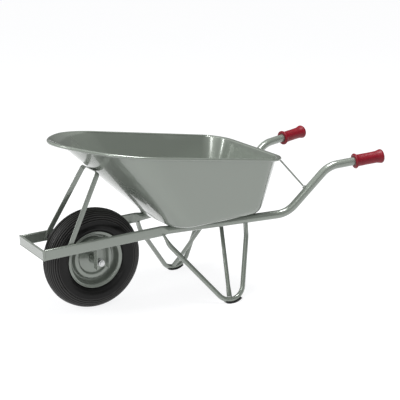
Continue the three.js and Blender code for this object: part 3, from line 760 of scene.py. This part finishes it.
def handle_path(form):
    """The left tube's stations from the front bar to the cap of the grip."""
    upper = Vector((UPPER_BEND_X, -tube_y(UPPER_BEND_X), UPPER_BEND_Z))

    def on_handle(x):
        return Vector((x, -tube_y(x), UPPER_BEND_Z + HANDLE_SLOPE * (x - UPPER_BEND_X)))

    grip_start = on_handle(GRIP_START_X)
    way = (on_handle(GRIP_START_X + 1) - grip_start).normalized()
    start_x = FRONT_X + form.rail_width / MM + GAP
    rail_way = Vector((1, 0, RAIL_SLOPE)).normalized()
    stations = []
    steps = [mix(start_x, FLAT_END_X - DISH_FADE - 6, k / 24) for k in range(25)]
    steps += [mix(FLAT_END_X - DISH_FADE - 2, ROUND_START_X, k / 20) for k in range(21)]
    for x in steps:
        stations.append((Vector((x, -RAIL_Y, rail_z(x))), rail_way))
    bent = bent_path([
        ((ROUND_START_X, -RAIL_Y, rail_z(ROUND_START_X)), 0),
        ((LOWER_BEND_X, -tube_y(LOWER_BEND_X), rail_z(LOWER_BEND_X)), BEND_RADIUS),
        (upper, BEND_RADIUS),
        (grip_start + way * TUBE_IN_GRIP, 0),
    ])
    return stations + bent[1:], grip_start, way


def tube_rings(form):
    stations, _, _ = handle_path(form)
    dish = form.dish / MM

    def section(i, point):
        t = smooth(FLAT_END_X, ROUND_START_X, point.x)
        width = mix(form.rail_width, 2 * form.tube, t) / MM
        height = mix(form.rail_height, 2 * form.tube, t) / MM
        fade = smooth(FLAT_END_X - DISH_FADE, FLAT_END_X, point.x)
        return dished(width, height, dish * (1 - fade))

    return sweep(stations, section, ACROSS)


class BARROW_OT_tubes(bpy.types.Operator):
    """Bends the two long tubes, pressed flat beside the wheel and round to the grips"""

    bl_idname = "barrow.tubes"
    bl_label = "Frame tubes"

    def execute(self, context):
        rings = tube_rings(context.scene.barrow_frame)
        for side, one in (("left", rings), ("right", mirrored(rings))):
            painted(Shape().tube(one).make(f"{side}_long_tube"), f"{side}_frame_tube")
        return {"FINISHED"}


class BARROW_OT_front_bar(bpy.types.Operator):
    """Makes the flattened bar across the front and the round bar under the tray"""

    bl_idname = "barrow.front_bar"
    bl_label = "Front bar and crossbar"

    def execute(self, context):
        form = context.scene.barrow_frame
        width, height = form.rail_width / MM, form.rail_height / MM
        x = FRONT_X + width / 2
        reach = RAIL_Y + width / 2
        tilt = math.atan(RAIL_SLOPE)
        side = Vector((math.cos(tilt), 0, math.sin(tilt)))
        stations = [(Vector((x, mix(-reach, reach, k / 24), rail_z(x))), ACROSS)
                    for k in range(25)]
        section = [(-a, b) for a, b in dished(width - FRONT_BAR_EASE, height, form.dish / MM)]
        rings = sweep(stations, lambda i, p: section, side)
        painted(Shape().tube(rings).make("front_bar_pressed"), "front_bar")
        low, high = bench_box("crossbar")
        z, radius = (low.z + high.z) / 2, (high.z - low.z) / 2
        half = tube_y(CROSSBAR_X) - form.tube / MM - GAP
        bar = Shape().tube(rod((CROSSBAR_X, -half, z), (CROSSBAR_X, half, z), radius))
        painted(bar.make("crossbar_round"), "crossbar")
        return {"FINISHED"}


LEG_FRONT_X = 256
LEG_REAR_X = 596
LEG_REACH = (14, 12)             # how far below the tube's middle the two ends stop
FRONT_KNEE = (276, -128, 240)
REAR_KNEE = (594, -184, 248)
FOOT_X = (460, 541)
LEG_END = (26, 10)               # both ends are squeezed to this section
LEG_SQUEEZE = (8, 58)            # distances from an end where it starts and has gone
LEG_SIDE = Vector((0, 1, 0.38)).normalized()
BRACE_FOOT = (FOOT_LOW_X - 4, 7 - FOOT_Y)
BRACE_FOOT_LIFT = 4
BRACE_TOP_Y = 24
BRACE_TOP_DROP = 4
BRACE_GAPS = (5, 9)              # left clear at the foot and at the crossbar
BRACE_END = (11, 23)
BRACE_SQUEEZE = (8, 60)
SKID = (24, 4)                   # width and thickness of the strip
SKID_ARC = (-22, 38)             # degrees round the foot bend


def foot_z(form):
    return bench_box("left_leg")[0].z + form.leg / MM


def leg_rings(form):
    radius = form.leg / MM
    low = foot_z(form)
    stations = bent_path([
        ((LEG_FRONT_X, -RAIL_Y, rail_z(LEG_FRONT_X) - LEG_REACH[0]), 0),
        (FRONT_KNEE, 90),
        ((FOOT_X[0], -FOOT_Y, low), FOOT_BEND),
        ((FOOT_X[1], -FOOT_Y, low), FOOT_BEND),
        (REAR_KNEE, 120),
        ((LEG_REAR_X, -tube_y(LEG_REAR_X), rail_z(LEG_REAR_X) - LEG_REACH[1]), 0),
    ], 10)
    run = distances(stations)

    def section(i, point):
        end = min(run[i], run[-1] - run[i])
        t = smooth(*LEG_SQUEEZE, end)
        return oblong(mix(LEG_END[0], 2 * radius, t), mix(LEG_END[1], 2 * radius, t), 32)

    return sweep(stations, section, LEG_SIDE)


def brace_rings(form):
    """A rod from the foot bend to the crossbar, squeezed flat where it meets the leg."""
    foot = Vector((*BRACE_FOOT, foot_z(form) + BRACE_FOOT_LIFT))
    top = Vector((CROSSBAR_X, -BRACE_TOP_Y, rail_z(CROSSBAR_X) - BRACE_TOP_DROP))
    way = (top - foot).normalized()
    reach = (top - foot).length - BRACE_GAPS[1]
    stations = [(foot + way * mix(BRACE_GAPS[0], reach, k / 30), way) for k in range(31)]
    round_size = 2 * form.brace / MM

    def section(i, point):
        t = smooth(*BRACE_SQUEEZE, (point - foot).length)
        return oblong(mix(BRACE_END[0], round_size, t), mix(BRACE_END[1], round_size, t), 28)

    return sweep(stations, section, ACROSS)


class BARROW_OT_legs(bpy.types.Operator):
    """Bends the V-shaped legs with their braces and skids"""

    bl_idname = "barrow.legs"
    bl_label = "Legs, braces and skids"

    def execute(self, context):
        form = context.scene.barrow_frame
        low = foot_z(form)
        leg = leg_rings(form)
        brace = brace_rings(form)
        radius = FOOT_BEND + form.leg / MM + GAP + SKID[1] / 2
        stations = []
        for k in range(25):
            angle = math.radians(mix(*SKID_ARC, k / 24))
            point = Vector((FOOT_LOW_X + radius * math.sin(angle), -FOOT_Y,
                            low + FOOT_BEND - radius * math.cos(angle)))
            stations.append((point, Vector((math.cos(angle), 0, math.sin(angle)))))
        strip = sweep(stations, lambda i, p: flat_bar(SKID[0], SKID[1], 1.0), ACROSS)
        strip = [[Vector((p.x, p.y, max(p.z, 0))) for p in ring] for ring in strip]
        for side, turn in (("left", lambda r: r), ("right", mirrored)):
            painted(Shape().tube(turn(leg)).make(f"{side}_bent_leg"), f"{side}_leg")
            painted(Shape().tube(turn(brace)).make(f"{side}_brace_rod"), f"{side}_leg_brace")
            settle(Shape().tube(turn(strip)).make(f"{side}_skid_strip"), "barrow", skid_paint(),
                   "skid_steel", f"{side}_foot_skid")
        return {"FINISHED"}


def nose_face(form):
    """The nose panel's outer face on the centre line: bottom, top, its way and its way out."""
    feet, _ = outline(FOOT_LINE)
    rims, _ = outline(RIM_LINE)
    bottom, top, _ = wall_line(feet[0], rims[0], Vector((-1, 0, 0)), 0.0, form)
    way = (top - bottom).normalized()
    return bottom, top, way, Vector((-way.z, 0, way.x))


STAY_BAR = (20, 4)
STAY_FOOT = (-146, 103.4, 267)
STAY_KNEE = (-129, 103.4, 304)
STAY_TOP_Y = 66
REAR_STAY_RADIUS = 3.5
REAR_STAY_TOP = (736, 206)
REAR_STAY_DROP = 10.5            # from the middle of the lip to the middle of the rod's end
ROD_END_INSET = 2.6


class BARROW_OT_stays(bpy.types.Operator):
    """Bends the flat bar that carries the nose and the two thin rods that carry the rear lip"""

    bl_idname = "barrow.stays"
    bl_label = "Stays"

    def execute(self, context):
        bottom, top, nose_way, nose_down = nose_face(context.scene.barrow_tray)
        crown = bottom.lerp(top, STAY_SHARE) + nose_down * (GAP + STAY_BAR[1] / 2)
        corners = [(STAY_FOOT, 0), (STAY_KNEE, 40), ((crown.x, STAY_TOP_Y, crown.z), 14)]
        left = [((p[0], -p[1], p[2]), r) for p, r in corners]
        stations = bent_path(left + corners[::-1], 12)
        rings = sweep(stations, lambda i, p: flat_bar(*STAY_BAR), nose_way)
        painted(Shape().tube(rings).make("nose_stay"), "front_stay")
        for side, sign in (("left", -1), ("right", 1)):
            low, high = bench_box(f"{side}_rear_stay")
            outer = max(high.y, -low.y)
            start = (high.x - ROD_END_INSET, sign * (outer - REAR_STAY_RADIUS),
                     low.z + ROD_END_INSET)
            x, y = REAR_STAY_TOP
            upper = (x, sign * y, rim_z(x) - REAR_STAY_DROP)
            stay = Shape().tube(rod(start, upper, REAR_STAY_RADIUS, 16))
            painted(stay.make(f"{side}_lip_rod"), f"{side}_rear_stay")
        return {"FINISHED"}


BRACKET_SHEET = 2.5
OUTER_BEND, INNER_BEND, SHEET_EDGE = 4.0, 2.0, 0.6
BRACKET_REACHES = (SHEET_EDGE, OUTER_BEND, OUTER_BEND, SHEET_EDGE,
                   SHEET_EDGE, INNER_BEND, INNER_BEND, SHEET_EDGE)


def rounded_section(corners, reaches):
    """A closed flat section with each corner rounded by its own reach."""
    section = []
    for i, (corner, reach) in enumerate(zip(corners, reaches)):
        here = Vector((*corner, 0))
        before = (Vector((*corners[i - 1], 0)) - here).normalized() * reach
        after = (Vector((*corners[(i + 1) % len(corners)], 0)) - here).normalized() * reach
        for k in range(5):
            u = k / 4
            section.append(here + before * (1 - u) ** 2 + after * u * u)
    return section


class BARROW_OT_brackets(bpy.types.Operator):
    """Folds the two channel brackets that hold the axle"""

    bl_idname = "barrow.brackets"
    bl_label = "Axle brackets"

    def execute(self, context):
        for side, sign in (("left", -1), ("right", 1)):
            low, high = bench_box(f"{side}_axle_bracket")
            x0, x1 = low.x, high.x
            near, far = sorted((abs(low.y), abs(high.y)))
            t = BRACKET_SHEET
            shape = [(x0, far), (x0, near), (x1, near), (x1, far), (x1 - t, far),
                     (x1 - t, near + t), (x0 + t, near + t), (x0 + t, far)]
            section = rounded_section(shape, BRACKET_REACHES)
            rings = [[Vector((p.x, sign * p.y, mix(low.z, high.z, k / 8))) for p in section]
                     for k in range(9)]
            bracket = Shape().tube(rings).make(f"{side}_channel_bracket", 30)
            painted(bracket, f"{side}_axle_bracket")
        return {"FINISHED"}


GRIP_PROFILE = ((0, 129), (22, 129), (27, 127), (29.5, 121), (27.5, 114), (24.5, 101), (24, 64.5),
                (24.5, 20), (26.5, 11), (30.5, 8), (31.5, 4.5), (30, 1), (26, 0), (17.3, 0),
                (17.3, 20), (0, 20))


class BARROW_OT_grips(bpy.types.Operator):
    """Moulds the two flanged hand grips"""

    bl_idname = "barrow.grips"
    bl_label = "Grips"

    def execute(self, context):
        _, start, way = handle_path(context.scene.barrow_frame)
        corners = [(r, y, 0) for r, y in GRIP_PROFILE]
        profile = soften(corners, 3.0, 4, closed=False)
        for side, sign in (("left", 1), ("right", -1)):
            middle = Vector((start.x, start.y * sign, start.z))
            axis = Vector((way.x, way.y * sign, way.z))
            settle(Shape().band(turned(profile, 64, middle, axis)).make(f"{side}_hand_grip", 50),
                   "barrow", grip_plastic(), "grip_plastic", f"{side}_grip")
        return {"FINISHED"}


# ---------------------------------------------------------------- wheel
TYRE_SKIN = ((102.4, 29.2), (103.5, 31.5), (112, 33.5), (122, 43), (138, 49), (154, 50),
             (168, 47.5), (181, 41.5), (191, 32), (197, 18), (200, 0))
TYRE_LINING = ((103, 20.5), (112, 27), (124, 37), (140, 43.5), (155, 44), (168, 41.5),
               (179, 35), (187, 22), (190, 0))
RIM_FACE = ((18.4, 14), (24, 12), (58, 12), (64, 18), (79, 18), (85, 2.6), (90, 2.6), (95, 8),
            (98.5, 20), (99.3, 31), (102, 35), (109, 36.2), (112, 38), (114, 36.4))
RIM_BACK = ((111, 34.2), (104, 33.6), (101.5, 30), (100.8, 20), (97, 6.6), (91, 0.3),
            (83.4, 0.3), (77.4, 15.8), (65.6, 15.8), (59.6, 9.8), (18.4, 9.8))
HUB = (14, 18, 59)               # bore, radius and half length
TYRE_RADIUS = 200
TYRE_HALF_WIDTH = 50.0
TREAD_RADIUS = 158               # the ribs start here on the shoulder
CROWN_RADIUS = 194
SIDEWALL_BEADS = ((119, 0.9), (127, 0.7))


def spline(points, per_step):
    """A smooth line through points."""
    result = []
    last = len(points) - 1
    for i in range(last):
        p0, p1 = points[max(i - 1, 0)], points[i]
        p2, p3 = points[i + 1], points[min(i + 2, last)]
        for k in range(per_step):
            t = k / per_step
            result.append(tuple(
                0.5 * (2 * b + (c - a) * t + (2 * a - 5 * b + 4 * c - d) * t * t
                       + (3 * b - a - 3 * c + d) * t ** 3)
                for a, b, c, d in zip(p0, p1, p2, p3)))
    return result + [tuple(points[last])]


def tyre_profile(form):
    """Bead to bead over the tread, grooved, and back along the lining, as (radius, along)."""
    half = spline(TYRE_SKIN, 16)
    depth, pitch = form.groove / MM, form.rib_pitch / MM
    skin = []
    for r, y in half:
        wave = 0.5 + 0.5 * math.cos(math.tau * (y - r) / pitch)
        crown = smooth(TREAD_RADIUS, CROWN_RADIUS, r)
        groove = depth * smooth(TREAD_RADIUS - 2, TREAD_RADIUS + 3, r) * smooth(0.5, 0.85, wave)
        beads = sum(high * math.exp(-((r - ring_at) / 1.5) ** 2)
                    for ring_at, high in SIDEWALL_BEADS)
        along = y + beads - 1.0 - groove * 0.8 * (1 - crown)
        along = 0.0 if r > TYRE_RADIUS - 0.01 else min(max(along, 0.0), TYRE_HALF_WIDTH)
        skin.append((min(r - groove * crown, TYRE_RADIUS - 0.1), along))
    outer = [(r, -y) for r, y in skin] + skin[-2::-1]
    lining = spline(TYRE_LINING, 5)
    inner = lining + [(r, -y) for r, y in lining[-2::-1]]
    return outer + inner


class BARROW_OT_wheel(bpy.types.Operator):
    """Moulds the tyre and spins the two rim halves and the hub"""

    bl_idname = "barrow.wheel"
    bl_label = "Wheel"

    def execute(self, context):
        form = context.scene.barrow_wheel
        middle = (0, 0, AXLE_Z)
        tyre = Shape().band(turned(tyre_profile(form), form.segments, middle))
        # the tyre's rubber, with painted highlights on the tops of its ribs
        settle(tyre.make("ribbed_tyre", 60), "wheel", painted_rib_highlight(rubber()), "tyre", "tyre")
        corners = [(r, y, 0) for r, y in RIM_FACE + RIM_BACK]
        rim = [(p.x, p.y) for p in soften(corners, 2.4, 3)]
        for side, sign in (("left", -1), ("right", 1)):
            profile = [(r, sign * y) for r, y in rim]
            half = Shape().band(turned(profile, 112, middle)).make(f"{side}_rim_stamping", 60)
            painted(half, f"{side}_rim_half", "wheel")
        bore, radius, half = HUB
        hub = soften([(bore, -half, 0), (radius, -half, 0), (radius, half, 0), (bore, half, 0)],
                     0.8, 3)
        painted(Shape().band(turned(hub, 48, middle)).make("hub_sleeve"), "hub_tube", "wheel")
        return {"FINISHED"}


def hexagon(centre, axis, flats, height, bore):
    """Rings of a nut with a round bore and its corners chamfered on both faces."""
    axis = axis.normalized()
    out = axis.orthogonal().normalized()
    radius = flats / math.sqrt(3)
    rings = []
    for along, grow in ((-1, 0), (-0.86, 1), (0.86, 1), (1, 0)):
        ring = []
        for k in range(36):
            spoke = Quaternion(axis, math.tau * k / 36) @ out
            to_flat = (k % 6 - 3) * math.radians(10)
            hexed = radius * math.cos(math.radians(30)) / math.cos(to_flat)
            reach = hexed if grow else min(hexed, 0.955 * radius)
            ring.append(centre + spoke * reach + axis * (along * height / 2))
        rings.append(ring)
    for along in (1, -1):
        rings.append([centre + (Quaternion(axis, math.tau * k / 36) @ out) * bore
                      + axis * (along * height / 2) for k in range(36)])
    return Shape().band(rings)


AXLE_BORE = 8.3
AXLE_NUT = (24, 8.1)             # across flats, bore


class BARROW_OT_axle(bpy.types.Operator):
    """Turns the axle with its spacers, washers and nuts"""

    bl_idname = "barrow.axle"
    bl_label = "Axle"

    def execute(self, context):
        low, high = bench_box("axle")
        radius, half = (high.z - low.z) / 2, high.y
        bar = soften([(0, -half, 0), (radius, -half, 0), (radius, half, 0), (0, half, 0)], 1.6, 4,
                     closed=False)
        plated(Shape().band(turned(bar, 48, (0, 0, AXLE_Z))).make("axle_rod"), "axle")
        for side in ("left", "right"):
            for node, name in (("axle_spacer", "spacer_ring"), ("axle_washer", "washer_ring")):
                low, high = bench_box(f"{side}_{node}")
                half, outer = (high.y - low.y) / 2, (high.z - low.z) / 2
                ring = soften([(AXLE_BORE, -half, 0), (outer, -half, 0), (outer, half, 0),
                               (AXLE_BORE, half, 0)], 0.4, 2)
                piece = Shape().band(turned(ring, 48, (low + high) / 2)).make(f"{side}_{name}")
                plated(piece, f"{side}_{node}")
            low, high = bench_box(f"{side}_axle_nut")
            flats, bore = AXLE_NUT
            nut = hexagon((low + high) / 2, ACROSS, flats, high.y - low.y, bore)
            plated(nut.make(f"{side}_axle_hexagon"), f"{side}_axle_nut")
        return {"FINISHED"}


BOLT_LENGTH = 16
BOLT_PROFILE = ((0, 5), (2.5, 4.9), (4.5, 4.4), (6.5, 3.4), (8, 2.2), (9, GAP), (4, GAP),
                (4, 1 - BOLT_LENGTH), (3.2, -BOLT_LENGTH), (0, -BOLT_LENGTH))
TRAY_NUT = (13, 5.8, 4.1)        # across flats, height, bore


class BARROW_OT_fasteners(bpy.types.Operator):
    """Makes the tray bolts and their nuts, and finishes the small pieces kept from the frame"""

    bl_idname = "barrow.fasteners"
    bl_label = "Bolts, nuts and small pieces"

    def execute(self, context):
        tube = context.scene.barrow_frame.tube / MM
        sheet = context.scene.barrow_tray.sheet / MM
        axis = Vector((-RAIL_SLOPE, 0, 1)).normalized()
        for end, x in zip(("front", "rear"), TRAY_BOLT_X):
            for side, sign in (("left", -1), ("right", 1)):
                seat = Vector((x, sign * tube_y(x), floor_z(x, tube) + sheet))
                bolt = Shape().band(turned(BOLT_PROFILE, 32, seat, axis))
                node = f"{side}_{end}_tray"
                plated(bolt.make(f"{node}_mushroom"), f"{node}_bolt")
                low, high = bench_box(f"{node}_nut")
                nut = hexagon((low + high) / 2, axis, *TRAY_NUT)
                plated(nut.make(f"{node}_hexagon"), f"{node}_nut")
        for node, obj in frame["nodes"].items():
            if obj.hide_render:
                continue
            slot = next(s["material_slot"] for s in frame["record"]["subparts"]
                        if s["node"] == node)
            made = {"zinc": zinc, "paint": paint, "nylon": nylon, "brass": brass}.get(slot, rubber)
            obj.data.materials.clear()
            obj.data.materials.append(made())
        return {"FINISHED"}


# ---------------------------------------------------------------- stage
LIGHT_AIM = (-0.1, 0, 0.4)
KEY_PLACE, KEY_SIZE = (-3.3, -3.1, 2.7), (0.8, 1.6)
TOP_PLACE, TOP_SIZE, TOP_POWER = (0.2, -0.4, 4.2), (1.8, 1.2), 190
SIDE_PLACE, SIDE_SIZE, SIDE_POWER = (-4.2, 0.9, 2.4), (0.6, 1.6), 45
CAMERA_PLACE = (-1753.7, -3911.6, 1574.1)
CAMERA_WAY = (0.4789, 0.8391, -0.258)


def area_light(name, location, sizes, power):
    data = bpy.data.lights.new(name, "AREA")
    data.shape = "RECTANGLE"
    data.size, data.size_y = sizes
    data.energy = power
    obj = bpy.data.objects.new(name, data)
    bpy.context.scene.collection.objects.link(obj)
    obj.location = location
    obj.rotation_mode = "QUATERNION"
    obj.rotation_quaternion = (Vector(LIGHT_AIM) - Vector(location)).to_track_quat("-Z", "Y")
    obj.visible_camera = False


class BARROW_OT_stage(bpy.types.Operator):
    """Sets the pale floor, the soft lights and the camera"""

    bl_idname = "barrow.stage"
    bl_label = "Stage"

    def execute(self, context):
        look = context.scene.barrow_stage
        scene = context.scene
        scene.view_settings.view_transform = "Standard"
        bm = bmesh.new()
        bmesh.ops.create_circle(bm, cap_ends=True, segments=96, radius=60)
        mesh = bpy.data.meshes.new("floor")
        bm.to_mesh(mesh)
        bm.free()
        floor = bpy.data.objects.new("floor", mesh)
        scene.collection.objects.link(floor)
        floor.location = (0, 0, -0.0005)
        material = finish_material("pale_floor", look.floor, shade(look.floor, 0.99), (40.0, 0.0),
                                   (1.0, 0.3, 0.7), (0.85, 0.9), Specular_IOR_Level=0.1,
                                   Emission_Color=(1, 1, 1.01, 1), Emission_Strength=0.86)
        mesh.materials.append(material)
        world = bpy.data.worlds.new("studio")
        scene.world = world
        world.use_nodes = True
        tree = world.node_tree
        background = tree.nodes["Background"]
        where = tree.nodes.new("ShaderNodeTexCoord")
        split = tree.nodes.new("ShaderNodeSeparateXYZ")
        ramp = tree.nodes.new("ShaderNodeValToRGB")
        below, above = ramp.color_ramp.elements
        below.color = (0.20, 0.20, 0.20, 1)
        above.position = 0.75
        above.color = (0.70, 0.72, 0.70, 1)
        link(tree, where.outputs["Generated"], split.inputs["Vector"])
        link(tree, split.outputs["Z"], ramp.inputs["Fac"])
        link(tree, ramp.outputs["Color"], background.inputs["Color"])
        fall = tree.nodes.new("ShaderNodeMapRange")
        set_inputs(fall, From_Min=-1.0, To_Min=1.5, To_Max=0.15)
        link(tree, split.outputs["X"], fall.inputs["Value"])
        link(tree, fall.outputs["Result"], background.inputs["Strength"])
        area_light("key_softbox", KEY_PLACE, KEY_SIZE, look.key)
        area_light("top_softbox", TOP_PLACE, TOP_SIZE, TOP_POWER)
        area_light("side_softbox", SIDE_PLACE, SIDE_SIZE, SIDE_POWER)
        camera = bpy.data.cameras.new("camera")
        camera.lens = look.lens
        camera.sensor_width = 36
        camera.shift_x, camera.shift_y = 0.004, -0.0025
        camera.clip_end = 200
        stand = bpy.data.objects.new("camera", camera)
        scene.collection.objects.link(stand)
        stand.location = place(CAMERA_PLACE)
        stand.rotation_mode = "QUATERNION"
        stand.rotation_quaternion = Vector(CAMERA_WAY).to_track_quat("-Z", "Y")
        scene.camera = stand
        return {"FINISHED"}


PIECE_OPERATORS = (
    BARROW_OT_stage, BARROW_OT_tray, BARROW_OT_tubes, BARROW_OT_front_bar, BARROW_OT_legs,
    BARROW_OT_stays, BARROW_OT_brackets, BARROW_OT_grips, BARROW_OT_wheel, BARROW_OT_axle,
    BARROW_OT_fasteners,
)
GROUPS = {
    "barrow_tray": BarrowTray,
    "barrow_frame": BarrowFrame,
    "barrow_wheel": BarrowWheel,
    "barrow_finish": BarrowFinish,
    "barrow_stage": BarrowStage,
}


class BARROW_PT_panel(bpy.types.Panel):
    bl_label = "Barrow"
    bl_idname = "BARROW_PT_panel"
    bl_space_type = "VIEW_3D"
    bl_region_type = "UI"
    bl_category = "Barrow"

    def draw(self, context):
        for key, group in GROUPS.items():
            box = self.layout.box()
            for name in group.__annotations__:
                box.prop(getattr(context.scene, key), name)
        for operator in PIECE_OPERATORS:
            self.layout.operator(operator.bl_idname)


def register():
    for cls in (*GROUPS.values(), *PIECE_OPERATORS, BARROW_PT_panel):
        bpy.utils.register_class(cls)
    for key, group in GROUPS.items():
        setattr(bpy.types.Scene, key, PointerProperty(type=group))


def unregister():
    for key in GROUPS:
        delattr(bpy.types.Scene, key)
    for cls in reversed((*GROUPS.values(), *PIECE_OPERATORS, BARROW_PT_panel)):
        bpy.utils.unregister_class(cls)


def main():
    register()
    for operator in PIECE_OPERATORS:
        family, verb = operator.bl_idname.split(".")
        getattr(getattr(bpy.ops, family), verb)()


if __name__ == "__main__":
    main()
